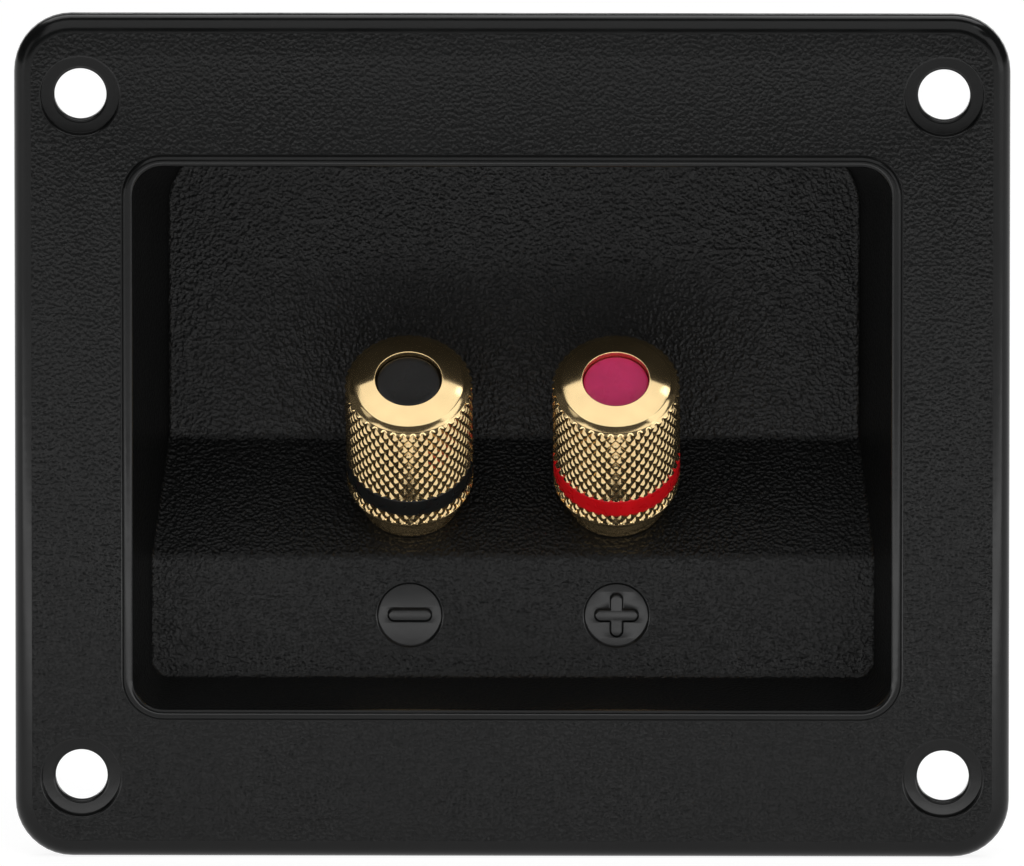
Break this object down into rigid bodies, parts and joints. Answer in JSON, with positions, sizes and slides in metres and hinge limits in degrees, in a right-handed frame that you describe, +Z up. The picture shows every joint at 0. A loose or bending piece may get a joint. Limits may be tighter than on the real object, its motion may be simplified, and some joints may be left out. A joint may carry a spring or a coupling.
{
  "type": "recessed binding post terminal",
  "caption": "Recessed loudspeaker terminal: a moulded black cup with a screw-on flange and knurled gold binding posts leaning out of its shelf, marked minus and plus.",
  "frame": {"origin": "middle of the screw pattern, on the flange's back face", "axes": "+X across the flange, +Y into the cabinet behind it, +Z up the flange"},
  "size_m": [0.094, 0.0283, 0.0804],
  "materials": {
    "cup_plastic": "black moulded plastic, fine leather grain on the flat faces, smooth rims",
    "gold_plate": "bright gold plate on turned and knurled brass",
    "black_ring": "glossy black plastic",
    "red_ring": "glossy red plastic",
    "smoke_plug": "smooth smoke grey plastic",
    "pink_plug": "smooth pinkish red plastic",
    "nickel_plate": "nickel-plated steel",
    "tinned_brass": "dull tinned brass"
  },
  "bodies": {
    "housing": {"terminal_cup": "cup_plastic", "negative_stud": "gold_plate", "negative_flat_washer": "nickel_plate", "negative_lock_washer": "nickel_plate", "negative_clamp_nut": "nickel_plate", "negative_solder_lug": "tinned_brass", "negative_lug_nut": "nickel_plate", "positive_stud": "gold_plate", "positive_flat_washer": "nickel_plate", "positive_lock_washer": "nickel_plate", "positive_clamp_nut": "nickel_plate", "positive_solder_lug": "tinned_brass", "positive_lug_nut": "nickel_plate"},
    "negative_ring": {"negative_colour_ring": "black_ring"},
    "negative_knob": {"negative_clamp_knob": "gold_plate"},
    "negative_plug": {"negative_safety_plug": "smoke_plug"},
    "positive_ring": {"positive_colour_ring": "red_ring"},
    "positive_knob": {"positive_clamp_knob": "gold_plate"},
    "positive_plug": {"positive_safety_plug": "pink_plug"}
  },
  "joints": [
    {"name": "negative_knob_travel", "type": "slide", "parent": "housing", "child": "negative_ring", "axis": [0, -0.7071, 0.7071], "range_m": [0, 0.005]},
    {"name": "negative_knob_turn", "type": "hinge", "parent": "negative_ring", "child": "negative_knob", "pos_m": [-0.0098, 0.0122, -0.0078], "axis": [0, -0.7071, 0.7071], "range_deg": [0, 1800]},
    {"name": "negative_plug_pull", "type": "slide", "parent": "housing", "child": "negative_plug", "axis": [0, -0.7071, 0.7071], "range_m": [0, 0.008]},
    {"name": "positive_knob_travel", "type": "slide", "parent": "housing", "child": "positive_ring", "axis": [0, -0.7071, 0.7071], "range_m": [0, 0.005]},
    {"name": "positive_knob_turn", "type": "hinge", "parent": "positive_ring", "child": "positive_knob", "pos_m": [0.0098, 0.0122, -0.0078], "axis": [0, -0.7071, 0.7071], "range_deg": [0, 1800]},
    {"name": "positive_plug_pull", "type": "slide", "parent": "housing", "child": "positive_plug", "axis": [0, -0.7071, 0.7071], "range_m": [0, 0.008]}
  ],
  "couplings": [
    {"joint": "negative_knob_travel", "follows": "negative_knob_turn", "m_per_rad": 0.00015915},
    {"joint": "positive_knob_travel", "follows": "positive_knob_turn", "m_per_rad": 0.00015915}
  ]
}
